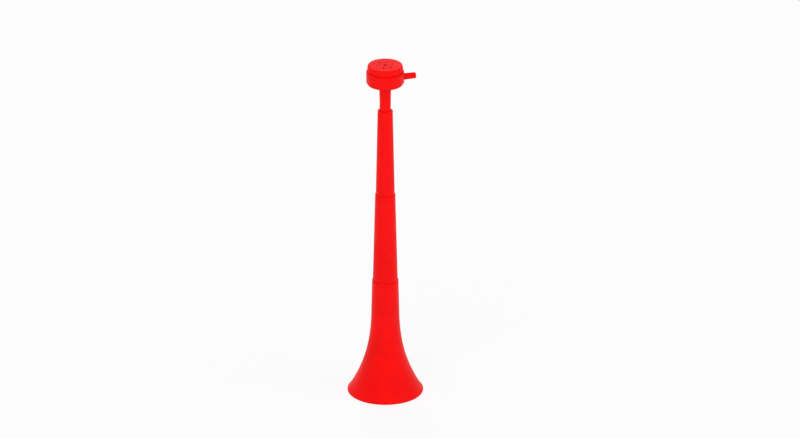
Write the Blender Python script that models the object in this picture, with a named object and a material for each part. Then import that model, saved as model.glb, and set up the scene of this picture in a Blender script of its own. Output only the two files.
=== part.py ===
"""Telescopic stadium horn, standing on its bell, as separate moulded pieces.

Three tapered sections slide into each other, and a round sound chamber with a
side mouthpiece plugs into the top one. Inside the chamber a film diaphragm
lies over the end of the sound tube, clamped under a screw cap.

Units are metres and +Z is up. The origin is the centre of the bell's rim, on
the surface that the horn stands on. The mouthpiece points along +X.
"""

import math

import bmesh
import bpy
from mathutils import Matrix

# Fits
SLIP = 0.0003
SIDES = 48

# Sound tube in the middle of the head
NECK_BORE = 0.0073
NECK_WALL = 0.0022
NECK_REACH = 0.0481
NECK_FLARE = 0.0011
NECK_FLARE_LENGTH = 0.032
NECK_FLARE_POWER = 1.5
SEAT_WALL = 0.0015
SEAT_LIP = 0.0007

# Socket at the top of the top tube
SOCKET_DEPTH = 0.0214
SOCKET_WALL = 0.0012
SOCKET_POCKET = 0.00105
SOCKET_STOP = 0.0015
SOCKET_STOP_WIDTH = 0.0018

# Telescopic sections
TOP_REACH = 0.1535
TOP_TAPER = 0.0205
MIDDLE_REACH = 0.1582
MIDDLE_TAPER = 0.0255
TUBE_WALL = 0.0008
TUBE_OVERLAP = 0.018
TUBE_EDGE = 0.0005
TOP_EDGE = 0.001

# Bell
BELL_LENGTH = 0.2055
BELL_TAPER = 0.0245
BELL_WALL = 0.0009
RIM_RADIUS = 0.0644
BEAD_RADIUS = 0.003
BEAD_FOOT = 0.0008
FLARE_LENGTH = 0.1457
FLARE_POWER = 2.38
FLARE_MEETS_BEAD = math.radians(70)

# Sound chamber
DRUM_RADIUS = 0.030
BOWL_HEIGHT = 0.0206
BOWL_WALL = 0.002
BOWL_FLOOR = 0.0022
BOWL_EDGE = 0.0014
BAND_HEIGHT = 0.0194
BAND_WALL = 0.0017
BAND_EDGE = 0.0007
WEB = 0.0022

# Screw thread between the collar and the cap
THREAD_PITCH = 0.0024
THREAD_TURNS = 1.5
THREAD_DEPTH = 0.0008
THREAD_CLEARANCE = 0.00035
THREAD_CREST = 0.0005
THREAD_ROOT = 0.0011
THREAD_BURIED = 0.0005
THREAD_RUN_IN = 0.0012
COLLAR_NECK_HEIGHT = 0.0066
COLLAR_NECK_WALL = 0.002

# Film, gasket and clamp ring under the cap
GASKET_THICKNESS = 0.0008
FILM_THICKNESS = 0.0003
CLAMP_THICKNESS = 0.001
SNAP_HOLD = 0.0003
SNAP_HEIGHT = 0.0006

# Screw cap
CAP_WALL = 0.00185
CAP_PLATE = 0.0017
CAP_EDGE = 0.0018
FLUTE_COUNT = 36
FLUTE_DEPTH = 0.0006
FLUTE_FADE = 0.0006
VENT_RADIUS = 0.003
VENT_COUNT = 6
VENT_RING_RADIUS = 0.013
SMALL_VENT_RADIUS = 0.0018

# Mouthpiece on the side of the chamber
PORT_HEIGHT = 0.0099
MOUTH_BORE = 0.0034
MOUTH_SPIGOT_WALL = 0.0011
MOUTH_TIP_WALL = 0.00175
MOUTH_ROOT_WALL = 0.0022
MOUTH_LENGTH = 0.0183
MOUTH_EDGE = 0.0008
BOSS_WALL = 0.0012
BOSS_REACH = 0.0025
SPIGOT_PROUD = 0.0011

# Colours as linear values
RED = (0.896, 0.0097, 0.0091)
FILM = (0.80, 0.82, 0.84)
RUBBER = (0.02, 0.02, 0.02)

# Heights along the horn
MIDDLE_TOP = BELL_LENGTH + MIDDLE_REACH
TOP_TOP = MIDDLE_TOP + TOP_REACH
DRUM_BOTTOM = TOP_TOP + NECK_REACH
BOWL_TOP = DRUM_BOTTOM + BOWL_HEIGHT
BAND_TOP = BOWL_TOP + SLIP + WEB
COLLAR_TOP = BAND_TOP + COLLAR_NECK_HEIGHT
GASKET_BOTTOM = COLLAR_TOP + SLIP
FILM_BOTTOM = GASKET_BOTTOM + GASKET_THICKNESS + SLIP
CLAMP_BOTTOM = FILM_BOTTOM + FILM_THICKNESS + SLIP
PLATE_BOTTOM = CLAMP_BOTTOM + CLAMP_THICKNESS + SLIP
CAP_BOTTOM = BAND_TOP + SLIP
CAP_TOP = PLATE_BOTTOM + CAP_PLATE
PORT_LEVEL = DRUM_BOTTOM + PORT_HEIGHT

# Radii of the sound tube and its socket
NECK_RADIUS = NECK_BORE + NECK_WALL
SEAT_RADIUS = NECK_BORE + SEAT_WALL
SOCKET_BORE = NECK_RADIUS + SLIP
SOCKET_RADIUS = SOCKET_BORE + SOCKET_WALL

# Radii of the chamber, its thread and what lies under the cap
COLLAR_BORE = DRUM_RADIUS + SLIP
BAND_RADIUS = COLLAR_BORE + BAND_WALL
CAP_VALLEY = DRUM_RADIUS - FLUTE_DEPTH
CAP_BORE = CAP_VALLEY - CAP_WALL
COLLAR_NECK_RADIUS = CAP_BORE - THREAD_CLEARANCE - THREAD_DEPTH
COLLAR_NECK_BORE = COLLAR_NECK_RADIUS - COLLAR_NECK_WALL
CLAMP_RADIUS = CAP_BORE - SLIP

# Radii and reach of the side port
SPIGOT_RADIUS = MOUTH_BORE + MOUTH_SPIGOT_WALL
PORT_RADIUS = SPIGOT_RADIUS + SLIP
BOSS_RADIUS = PORT_RADIUS + BOSS_WALL
BOSS_FACE = BAND_RADIUS + BOSS_REACH


class Section:
    """A tapered tube that is widest at its lower end."""

    def __init__(self, top, length, top_radius, taper, wall):
        self.top = top
        self.bottom = top - length
        self.top_radius = top_radius
        self.taper = taper
        self.wall = wall

    def outer(self, height):
        """Outer radius at a height."""
        return self.top_radius + self.taper * (self.top - height)

    def bore(self, height):
        """Inner radius at a height."""
        return self.outer(height) - self.wall


def sleeve_radius(inner, sleeve_top, taper, wall):
    """Top radius of a section that holds the lower end of another one.

    The sleeve clears the inner section all along the overlap, whichever of
    the two tapers is the steeper.
    """
    bore_at_edge = inner.outer(sleeve_top) + SLIP
    bore_at_end = inner.outer(inner.bottom) + SLIP - taper * (sleeve_top - inner.bottom)
    return max(bore_at_edge, bore_at_end) + wall


TOP = Section(
    TOP_TOP,
    TOP_REACH + TUBE_OVERLAP,
    SOCKET_RADIUS + SOCKET_POCKET + TUBE_WALL,
    TOP_TAPER,
    TUBE_WALL,
)
MIDDLE = Section(
    MIDDLE_TOP,
    MIDDLE_REACH + TUBE_OVERLAP,
    sleeve_radius(TOP, MIDDLE_TOP, MIDDLE_TAPER, TUBE_WALL),
    MIDDLE_TAPER,
    TUBE_WALL,
)
BELL_CONE = Section(
    BELL_LENGTH,
    BELL_LENGTH,
    sleeve_radius(MIDDLE, BELL_LENGTH, BELL_TAPER, BELL_WALL),
    BELL_TAPER,
    BELL_WALL,
)


def arc(centre, radius, start, end, steps):
    """Points of an arc in the outline plane, both ends included, angles in radians."""
    points = []
    for step in range(steps + 1):
        angle = start + (end - start) * step / steps
        points.append((centre[0] + radius * math.cos(angle), centre[1] + radius * math.sin(angle)))
    return points


def rounded_corner(radius, height, size, quadrant, steps=3):
    """Corner of an outline, rounded; quadrant 0 is outer top and 3 is outer bottom."""
    towards = {0: (-1, -1), 3: (-1, 1)}[quadrant]
    centre = (radius + towards[0] * size, height + towards[1] * size)
    start = math.radians(90 * quadrant)
    return arc(centre, size, start, start + math.pi / 2, steps)


def add_object(name, bm, smooth=True):
    """Puts a finished bmesh into the scene as one object."""
    bmesh.ops.remove_doubles(bm, verts=bm.verts, dist=1e-7)
    bmesh.ops.recalc_face_normals(bm, faces=bm.faces)
    mesh = bpy.data.meshes.new(name)
    bm.to_mesh(mesh)
    bm.free()
    if smooth:
        mesh.shade_smooth()
        mesh.set_sharp_from_angle(angle=math.radians(35))
    piece = bpy.data.objects.new(name, mesh)
    bpy.context.collection.objects.link(piece)
    return piece


def turned(name, outline, sides=SIDES):
    """Piece turned about Z from a closed outline of (radius, height) points."""
    bm = bmesh.new()
    ring = [bm.verts.new((radius, 0.0, height)) for radius, height in outline]
    edges = [bm.edges.new((ring[index - 1], ring[index])) for index in range(len(ring))]
    bmesh.ops.spin(
        bm,
        geom=ring + edges,
        cent=(0.0, 0.0, 0.0),
        axis=(0.0, 0.0, 1.0),
        angle=2 * math.pi,
        steps=sides,
        use_merge=True,
    )
    return add_object(name, bm)


def rod(name, radius, start, end, sides=32):
    """Plain round bar along Z between two heights."""
    bm = bmesh.new()
    middle = Matrix.Translation((0.0, 0.0, (start + end) / 2))
    bmesh.ops.create_cone(
        bm,
        cap_ends=True,
        segments=sides,
        radius1=radius,
        radius2=radius,
        depth=end - start,
        matrix=middle,
    )
    return add_object(name, bm)


def finish(piece, colour, roughness, alpha=1.0):
    """Gives a piece a material of its own."""
    material = bpy.data.materials.new(piece.name + "_finish")
    material.use_nodes = True
    shader = material.node_tree.nodes["Principled BSDF"]
    shader.inputs["Base Color"].default_value = (*colour, 1.0)
    shader.inputs["Roughness"].default_value = roughness
    shader.inputs["Metallic"].default_value = 0.0
    shader.inputs["Alpha"].default_value = alpha
    piece.data.materials.append(material)


def combine(piece, tool, operation):
    """Joins a tool's shape to a piece, or cuts it out of it."""
    modifier = piece.modifiers.new(tool.name, "BOOLEAN")
    modifier.operation = operation
    modifier.solver = "EXACT"
    modifier.object = tool
    tool.hide_render = True
    tool.display_type = "WIRE"


def lay_along_x(piece, height):
    """Turns a piece that was made along Z to lie along +X at a height."""
    piece.rotation_euler = (0.0, math.pi / 2, 0.0)
    piece.location = (0.0, 0.0, height)


def pivot(name, height):
    """Empty on the horn's axis that carries the pieces of one moving body."""
    empty = bpy.data.objects.new(name, None)
    empty.location = (0.0, 0.0, height)
    bpy.context.collection.objects.link(empty)
    return empty


def carry(parent, pieces):
    """Parents pieces to what carries them and leaves them where they are."""
    bpy.context.view_layer.update()
    for piece in pieces:
        piece.parent = parent
        piece.matrix_parent_inverse = parent.matrix_world.inverted()


def thread_rib(name, root_radius, outwards, start_height):
    """Right-hand helical rib whose base is buried in the wall that carries it."""
    steps_per_turn = 48
    fade_steps = 5
    first_angle = 0.04
    steps = round(THREAD_TURNS * steps_per_turn)
    depth = THREAD_DEPTH + THREAD_BURIED
    base_radius = root_radius - outwards * THREAD_BURIED
    bm = bmesh.new()
    sections = []
    for step in range(steps + 1):
        turn = step / steps_per_turn
        angle = first_angle + 2 * math.pi * turn
        centre = start_height + THREAD_PITCH * turn
        fade = min(1.0, (step + 1) / fade_steps, (steps - step + 1) / fade_steps)
        crest_radius = base_radius + outwards * depth * fade
        corners = (
            (base_radius, centre - THREAD_ROOT / 2),
            (crest_radius, centre - THREAD_CREST / 2),
            (crest_radius, centre + THREAD_CREST / 2),
            (base_radius, centre + THREAD_ROOT / 2),
        )
        section = []
        for radius, height in corners:
            section.append(bm.verts.new((radius * math.cos(angle), radius * math.sin(angle), height)))
        sections.append(section)
    for before, after in zip(sections, sections[1:]):
        for corner in range(4):
            bm.faces.new((before[corner - 1], before[corner], after[corner], after[corner - 1]))
    bm.faces.new(sections[0])
    bm.faces.new(sections[-1])
    return add_object(name, bm)


def section_outline(section):
    """Outline of a plain tapered tube with its upper outer edge rounded."""
    slant = section.outer(section.top)
    return [
        (section.bore(section.bottom), section.bottom),
        (section.outer(section.bottom), section.bottom),
        *rounded_corner(slant, section.top, TUBE_EDGE, 0),
        (section.bore(section.top), section.top),
    ]


def make_bell():
    """Bell section: a cone that flares to a rolled rim bead, which is its foot."""
    bead_radius = RIM_RADIUS - BEAD_RADIUS
    bead_height = math.sqrt(BEAD_RADIUS**2 - BEAD_FOOT**2)
    meet_radius = bead_radius + BEAD_RADIUS * math.cos(FLARE_MEETS_BEAD)
    meet_height = bead_height + BEAD_RADIUS * math.sin(FLARE_MEETS_BEAD)
    flare_gain = (meet_radius - BELL_CONE.outer(meet_height)) / (1 - meet_height / FLARE_LENGTH) ** FLARE_POWER

    def outer(height):
        return BELL_CONE.outer(height) + flare_gain * max(0.0, 1 - height / FLARE_LENGTH) ** FLARE_POWER

    def bore(height):
        rise = max(0.0, 1 - height / FLARE_LENGTH) ** (FLARE_POWER - 1)
        slope = BELL_TAPER + flare_gain * FLARE_POWER / FLARE_LENGTH * rise
        return outer(height) - BELL_WALL * math.hypot(1.0, slope)

    low = bead_height
    high = FLARE_LENGTH
    for _ in range(40):
        middle = (low + high) / 2
        if math.hypot(bore(middle) - bead_radius, middle - bead_height) < BEAD_RADIUS:
            low = middle
        else:
            high = middle
    bore_meets_bead = math.atan2(high - bead_height, bore(high) - bead_radius)

    steps = 12
    outer_heights = [meet_height + (FLARE_LENGTH - meet_height) * (step / steps) ** 1.4 for step in range(steps + 1)]
    bore_heights = [high + (FLARE_LENGTH - high) * (step / steps) ** 1.4 for step in range(steps + 1)]
    foot_angle = math.asin(BEAD_FOOT / BEAD_RADIUS)
    centre = (bead_radius, bead_height)
    outline = [
        (BELL_CONE.bore(BELL_LENGTH), BELL_LENGTH),
        *reversed(rounded_corner(BELL_CONE.outer(BELL_LENGTH), BELL_LENGTH, TUBE_EDGE, 0)),
        *((outer(height), height) for height in reversed(outer_heights)),
        *arc(centre, BEAD_RADIUS, FLARE_MEETS_BEAD, foot_angle - math.pi / 2, 7)[1:],
        *arc(centre, BEAD_RADIUS, -foot_angle - math.pi / 2, bore_meets_bead - 2 * math.pi, 7),
        *((bore(height), height) for height in bore_heights[1:]),
    ]
    return turned("bell", outline)


def make_middle_tube():
    """Plain tapered section between the bell and the top tube."""
    return turned("middle_tube", section_outline(MIDDLE))


def make_top_tube():
    """Top section, closed by a web that holds the socket for the head."""
    socket_bottom = TOP_TOP - SOCKET_DEPTH
    web_bottom = TOP_TOP - SOCKET_WALL
    stop_bore = SOCKET_BORE - SOCKET_STOP_WIDTH
    outline = [
        (TOP.bore(TOP.bottom), TOP.bottom),
        (TOP.outer(TOP.bottom), TOP.bottom),
        *rounded_corner(TOP.outer(TOP.top), TOP.top, TOP_EDGE, 0),
        (SOCKET_BORE, TOP.top),
        (SOCKET_BORE, socket_bottom),
        (stop_bore, socket_bottom),
        (stop_bore, socket_bottom - SOCKET_STOP),
        (SOCKET_RADIUS, socket_bottom - SOCKET_STOP),
        (SOCKET_RADIUS, web_bottom),
        (TOP.bore(web_bottom), web_bottom),
    ]
    return turned("top_tube", outline)


def make_neck_tube():
    """Sound tube: plugs into the socket and ends in the seat under the film."""
    plug_end = TOP_TOP - SOCKET_DEPTH + SLIP
    shoulder = DRUM_BOTTOM - SLIP
    seat = FILM_BOTTOM - SLIP
    flare = []
    steps = 5
    for step in range(steps + 1):
        share = step / steps
        height = shoulder - NECK_FLARE_LENGTH * (1 - share)
        flare.append((NECK_RADIUS + NECK_FLARE * share**NECK_FLARE_POWER, height))
    outline = [
        (NECK_BORE, plug_end),
        (NECK_RADIUS, plug_end),
        *flare,
        (SEAT_RADIUS, shoulder),
        (SEAT_RADIUS, seat - SEAT_LIP),
        (NECK_BORE + SEAT_LIP, seat),
        (NECK_BORE, seat),
    ]
    return turned("neck_tube", outline)


def make_port_cutter():
    """Cutter for the port that runs through the collar and the bowl."""
    cutter = rod("port_cutter", PORT_RADIUS, DRUM_RADIUS / 2, BOSS_FACE + BOSS_REACH)
    lay_along_x(cutter, PORT_LEVEL)
    return cutter


def make_chamber_bowl(port_cutter):
    """Cup of the sound chamber, with a hole in its floor for the sound tube."""
    floor_hole = SEAT_RADIUS + SLIP
    floor_top = DRUM_BOTTOM + BOWL_FLOOR
    inner = DRUM_RADIUS - BOWL_WALL
    outline = [
        (floor_hole, DRUM_BOTTOM),
        *rounded_corner(DRUM_RADIUS, DRUM_BOTTOM, BOWL_EDGE, 3, 4),
        (DRUM_RADIUS, BOWL_TOP),
        (inner, BOWL_TOP),
        (inner, floor_top),
        (floor_hole, floor_top),
    ]
    bowl = turned("chamber_bowl", outline)
    combine(bowl, port_cutter, "DIFFERENCE")
    return bowl


def make_chamber_collar(port_cutter):
    """Band round the bowl, with the threaded neck that the cap screws on."""
    outline = [
        (COLLAR_BORE, BAND_TOP - BAND_HEIGHT),
        *rounded_corner(BAND_RADIUS, BAND_TOP - BAND_HEIGHT, BAND_EDGE, 3),
        *rounded_corner(BAND_RADIUS, BAND_TOP, BAND_EDGE, 0),
        (COLLAR_NECK_RADIUS, BAND_TOP),
        (COLLAR_NECK_RADIUS, COLLAR_TOP),
        (COLLAR_NECK_BORE, COLLAR_TOP),
        (COLLAR_NECK_BORE, BAND_TOP - WEB),
        (COLLAR_BORE, BAND_TOP - WEB),
    ]
    collar = turned("chamber_collar", outline)
    band_at_boss_side = math.sqrt(BAND_RADIUS**2 - BOSS_RADIUS**2)
    boss = rod("port_boss", BOSS_RADIUS, (COLLAR_BORE + band_at_boss_side) / 2, BOSS_FACE)
    lay_along_x(boss, PORT_LEVEL)
    combine(collar, boss, "UNION")
    combine(collar, port_cutter, "DIFFERENCE")
    rib = thread_rib("collar_thread", COLLAR_NECK_RADIUS, 1, BAND_TOP + THREAD_RUN_IN)
    combine(collar, rib, "UNION")
    return collar


def make_mouthpiece():
    """Short tapered tube on the side of the chamber, plugged into the port."""
    spigot_end = DRUM_RADIUS - BOWL_WALL - SPIGOT_PROUD
    shoulder = BOSS_FACE + SLIP
    tip = shoulder + MOUTH_LENGTH
    tip_radius = MOUTH_BORE + MOUTH_TIP_WALL
    outline = [
        (MOUTH_BORE, spigot_end),
        (SPIGOT_RADIUS, spigot_end),
        (SPIGOT_RADIUS, shoulder),
        (MOUTH_BORE + MOUTH_ROOT_WALL, shoulder),
        *rounded_corner(tip_radius, tip, MOUTH_EDGE, 0),
        (MOUTH_BORE, tip),
    ]
    mouthpiece = turned("mouthpiece", outline, 32)
    lay_along_x(mouthpiece, PORT_LEVEL)
    return mouthpiece


def make_flat_ring(name, bore, radius, bottom, thickness):
    """Flat washer on the horn's axis."""
    top = bottom + thickness
    return turned(name, [(bore, bottom), (radius, bottom), (radius, top), (bore, top)])


def flute(cap):
    """Sinks every second column of the cap's side to make its grip ribs."""
    for vertex in cap.data.vertices:
        radius = math.hypot(vertex.co.x, vertex.co.y)
        column = round(math.atan2(vertex.co.y, vertex.co.x) * FLUTE_COUNT / math.pi)
        if radius > CAP_VALLEY + FLUTE_DEPTH / 2 and column % 2:
            vertex.co.x *= CAP_VALLEY / radius
            vertex.co.y *= CAP_VALLEY / radius


def make_screw_cap():
    """Cap with grip ribs, vents and a snap bead that keeps the clamp ring in it."""
    snap_top = CLAMP_BOTTOM - SLIP
    snap_bore = CLAMP_RADIUS - SNAP_HOLD
    outline = [
        (CAP_BORE, CAP_BOTTOM),
        (CAP_VALLEY, CAP_BOTTOM),
        (DRUM_RADIUS, CAP_BOTTOM + FLUTE_FADE),
        (DRUM_RADIUS, CAP_TOP - CAP_EDGE - FLUTE_FADE),
        *rounded_corner(CAP_VALLEY, CAP_TOP, CAP_EDGE, 0, 4),
        (VENT_RADIUS, CAP_TOP),
        (VENT_RADIUS, PLATE_BOTTOM),
        (CAP_BORE, PLATE_BOTTOM),
        (CAP_BORE, snap_top),
        (snap_bore, snap_top - SNAP_HEIGHT / 3),
        (CAP_BORE, snap_top - SNAP_HEIGHT),
    ]
    cap = turned("screw_cap", outline, 2 * FLUTE_COUNT)
    flute(cap)
    rib = thread_rib("cap_thread", CAP_BORE, -1, BAND_TOP + THREAD_RUN_IN + THREAD_PITCH / 2)
    combine(cap, rib, "UNION")
    for index in range(VENT_COUNT):
        angle = 2 * math.pi * index / VENT_COUNT
        cutter = rod(f"vent_cutter_{index + 1}", SMALL_VENT_RADIUS, -CAP_PLATE, CAP_PLATE, 16)
        cutter.location = (
            VENT_RING_RADIUS * math.cos(angle),
            VENT_RING_RADIUS * math.sin(angle),
            CAP_TOP - CAP_PLATE / 2,
        )
        combine(cap, cutter, "DIFFERENCE")
    return cap


def main():
    """Builds the horn and hangs each moving body on a pivot of its own."""
    for leftover in list(bpy.data.objects):
        bpy.data.objects.remove(leftover)

    port_cutter = make_port_cutter()
    bell = make_bell()
    middle_tube = make_middle_tube()
    top_tube = make_top_tube()
    neck_tube = make_neck_tube()
    bowl = make_chamber_bowl(port_cutter)
    collar = make_chamber_collar(port_cutter)
    mouthpiece = make_mouthpiece()
    gasket = make_flat_ring(
        "diaphragm_gasket", COLLAR_NECK_BORE, COLLAR_NECK_RADIUS, GASKET_BOTTOM, GASKET_THICKNESS
    )
    film = rod("diaphragm", COLLAR_NECK_RADIUS, FILM_BOTTOM, FILM_BOTTOM + FILM_THICKNESS, SIDES)
    clamp_ring = make_flat_ring("clamp_ring", COLLAR_NECK_BORE, CLAMP_RADIUS, CLAMP_BOTTOM, CLAMP_THICKNESS)
    cap = make_screw_cap()

    for piece in (bell, middle_tube, top_tube, neck_tube, bowl, collar, mouthpiece, cap):
        finish(piece, RED, 0.35)
    finish(clamp_ring, RED, 0.45)
    finish(gasket, RUBBER, 0.8)
    finish(film, FILM, 0.25, alpha=0.5)

    middle_slide = pivot("middle_slide", BELL_LENGTH)
    top_slide = pivot("top_slide", MIDDLE_TOP)
    head_turn = pivot("head_turn", TOP_TOP)
    cap_lift = pivot("cap_lift", BAND_TOP)
    cap_turn = pivot("cap_turn", BAND_TOP)
    carry(bell, [middle_slide])
    carry(middle_slide, [middle_tube, top_slide])
    carry(top_slide, [top_tube, head_turn])
    carry(head_turn, [neck_tube, bowl, collar, mouthpiece, gasket, film, cap_lift])
    carry(cap_lift, [clamp_ring, cap_turn])
    carry(cap_turn, [cap])


main()
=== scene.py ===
"""Dresses the telescopic stadium horn: every moulded piece, its finish, and a plain studio round it.

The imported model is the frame. Each piece is turned here as on a lathe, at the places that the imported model
gives and to the sizes named below, and rides on the body that it belongs to. Lengths are metres, heights
are measured from the surface that the horn stands on, and the mouthpiece points along +X.
"""

import logging
import math
from collections.abc import Callable
from dataclasses import dataclass
from enum import Enum

import bpy
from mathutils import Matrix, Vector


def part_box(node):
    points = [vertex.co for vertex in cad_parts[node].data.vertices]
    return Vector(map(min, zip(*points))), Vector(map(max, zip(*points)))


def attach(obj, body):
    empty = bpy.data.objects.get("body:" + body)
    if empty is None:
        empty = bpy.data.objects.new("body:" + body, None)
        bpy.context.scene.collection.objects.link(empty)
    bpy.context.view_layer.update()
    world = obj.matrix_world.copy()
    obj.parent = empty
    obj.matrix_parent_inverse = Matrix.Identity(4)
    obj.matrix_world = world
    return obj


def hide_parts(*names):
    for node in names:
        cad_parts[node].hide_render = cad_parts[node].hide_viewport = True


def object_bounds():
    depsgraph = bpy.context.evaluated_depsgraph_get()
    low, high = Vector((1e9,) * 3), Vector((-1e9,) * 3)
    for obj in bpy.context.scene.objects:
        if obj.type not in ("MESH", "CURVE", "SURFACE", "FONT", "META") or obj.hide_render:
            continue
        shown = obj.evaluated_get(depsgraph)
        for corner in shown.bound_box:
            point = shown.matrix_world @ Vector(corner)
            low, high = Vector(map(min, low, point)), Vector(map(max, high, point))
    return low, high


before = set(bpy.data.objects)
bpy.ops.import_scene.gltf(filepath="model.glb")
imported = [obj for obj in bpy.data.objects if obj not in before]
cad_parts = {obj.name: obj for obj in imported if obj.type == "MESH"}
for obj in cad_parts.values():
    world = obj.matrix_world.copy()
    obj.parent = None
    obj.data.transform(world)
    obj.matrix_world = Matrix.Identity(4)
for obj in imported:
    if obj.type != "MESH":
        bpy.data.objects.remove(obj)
CAD_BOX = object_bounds()

LOG = logging.getLogger("stadium_horn")

Point = tuple[float, float]
Triple = tuple[float, float, float]
Curve = Callable[[float], float]

WHITE = (1.0, 1.0, 1.0, 1.0)
MIX_FIRST_COLOUR = 6
MIX_SECOND_COLOUR = 7
MIX_RESULT_COLOUR = 2
NOISE_MIDDLE = 0.5


class Body(Enum):
    """The bodies of the frame that pieces ride on."""

    BELL = "bell_section"
    MIDDLE = "middle_section"
    TOP = "top_section"
    HEAD = "head"
    CLAMP = "clamp"
    CAP = "cap"


class Slot(Enum):
    """The record's material slots."""

    RED = "red_plastic"
    RING = "ring_plastic"
    FILM = "film"
    GASKET = "gasket_rubber"


class Spindle(Enum):
    """The line that a piece is turned about."""

    UPRIGHT = (0.0, 0.0, 1.0)
    SIDEWAYS = (1.0, 0.0, 0.0)


class Value:
    """A socket in a shader graph, with Python's operators standing for Math nodes."""

    def __init__(self, graph: "Graph", socket: bpy.types.NodeSocket) -> None:
        """Keeps the graph that the socket belongs to, and the socket."""
        self.graph = graph
        self.socket = socket

    def __add__(self, other: "Value | float") -> "Value":
        """Sum."""
        return self.graph.math("ADD", self, other)

    __radd__ = __add__

    def __mul__(self, other: "Value | float") -> "Value":
        """Product."""
        return self.graph.math("MULTIPLY", self, other)

    __rmul__ = __mul__

    def __sub__(self, other: "Value | float") -> "Value":
        """Difference."""
        return self.graph.math("SUBTRACT", self, other)

    def __rsub__(self, other: float) -> "Value":
        """Difference, from a plain number."""
        return self.graph.math("SUBTRACT", other, self)

    def __abs__(self) -> "Value":
        """Size without its sign."""
        return self.graph.math("ABSOLUTE", self)

    def ramp(self, low: float, high: float) -> "Value":
        """Smooth step between two values.

        Args:
            low: The value at which the step starts from 0.
            high: The value at which it reaches 1.

        Returns:
            The step, from 0 to 1.
        """
        node = self.graph.node(
            "ShaderNodeMapRange",
            {"interpolation_type": "SMOOTHSTEP"},
            {"Value": self, "From Min": low, "From Max": high},
        )
        return Value(self.graph, node.outputs["Result"])


class Graph:
    """A tree of shader nodes, and the one way of adding a node to it."""

    def __init__(self, tree: bpy.types.NodeTree) -> None:
        """Keeps the tree that the nodes go into."""
        self.tree = tree

    def node(self, kind: str, settings: dict[str, object], inputs: dict[str | int, object]) -> bpy.types.Node:
        """Adds any node.

        Args:
            kind: The node's type.
            settings: Its own settings, which are set first.
            inputs: Values or links of its sockets, by name or number.

        Returns:
            The new node.
        """
        node = self.tree.nodes.new(kind)
        for key, value in settings.items():
            setattr(node, key, value)
        for key, value in inputs.items():
            self.feed(node.inputs[key], value)
        return node

    def feed(self, target: bpy.types.NodeSocket, value: object) -> None:
        """Links or sets one socket.

        Args:
            target: The socket that takes the value.
            value: A Value, a socket, or a plain number or colour.
        """
        if isinstance(value, Value):
            self.tree.links.new(value.socket, target)
        elif isinstance(value, bpy.types.NodeSocket):
            self.tree.links.new(value, target)
        else:
            target.default_value = value

    def math(self, operation: str, first: object, second: object = 0.0) -> Value:
        """Adds a Math node.

        Args:
            operation: The node's operation.
            first: Its first value.
            second: Its second value.

        Returns:
            The result.
        """
        node = self.node("ShaderNodeMath", {"operation": operation}, {0: first, 1: second})
        return Value(self, node.outputs[0])


@dataclass(frozen=True)
class Grain:
    """A noise pattern: features per metre, finer layers, and its scale along each axis."""

    per_metre: float
    detail: float
    stretch: Triple = (1.0, 1.0, 1.0)


@dataclass(frozen=True)
class Relief:
    """A bump: what a height of 1 stands for, and the share of it that shows."""

    depth: float
    strength: float


class MaterialGraph(Graph):
    """The graph of one material, which reads the piece's own coordinates."""

    def __init__(self, name: str) -> None:
        """Makes the material and finds its shader.

        Args:
            name: The material's name.
        """
        self.material = bpy.data.materials.new(name)
        self.material.use_nodes = True
        super().__init__(self.material.node_tree)
        self.shader = self.tree.nodes["Principled BSDF"]
        self.output = self.tree.nodes["Material Output"]
        self.place = self.node("ShaderNodeTexCoord", {}, {}).outputs["Object"]

    def shade(self, name: str, value: object) -> None:
        """Feeds one input of the material's shader."""
        self.feed(self.shader.inputs[name], value)

    def noise(self, grain: Grain) -> Value:
        """Adds a noise over the piece's own coordinates.

        Args:
            grain: The pattern.

        Returns:
            The noise, about 0.5 on average.
        """
        mapping = self.node("ShaderNodeMapping", {}, {"Vector": self.place, "Scale": grain.stretch})
        node = self.node(
            "ShaderNodeTexNoise",
            {},
            {"Vector": mapping.outputs["Vector"], "Scale": grain.per_metre, "Detail": grain.detail},
        )
        return Value(self, node.outputs["Fac"])

    def axes(self) -> tuple[Value, Value, Value]:
        """The piece's coordinates as three values."""
        node = self.node("ShaderNodeSeparateXYZ", {}, {"Vector": self.place})
        return Value(self, node.outputs[0]), Value(self, node.outputs[1]), Value(self, node.outputs[2])

    def blend(
        self,
        share: Value,
        first: Triple | bpy.types.NodeSocket,
        second: Triple,
    ) -> bpy.types.NodeSocket:
        """Mixes two colours.

        Args:
            share: How much of the second colour shows.
            first: The colour at 0, or the socket that it comes from.
            second: The colour at 1.

        Returns:
            The colour's socket.
        """
        start = first if isinstance(first, bpy.types.NodeSocket) else (*first, 1.0)
        node = self.node(
            "ShaderNodeMix",
            {"data_type": "RGBA"},
            {"Factor": share, MIX_FIRST_COLOUR: start, MIX_SECOND_COLOUR: (*second, 1.0)},
        )
        return node.outputs[MIX_RESULT_COLOUR]

    def raise_by(self, height: Value, relief: Relief) -> None:
        """Raises the surface by a bump.

        Args:
            height: The height, from 0 to 1.
            relief: The bump's depth and strength.
        """
        bump = self.node(
            "ShaderNodeBump",
            {},
            {"Height": height, "Distance": relief.depth, "Strength": relief.strength},
        )
        self.shade("Normal", bump.outputs["Normal"])


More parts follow.
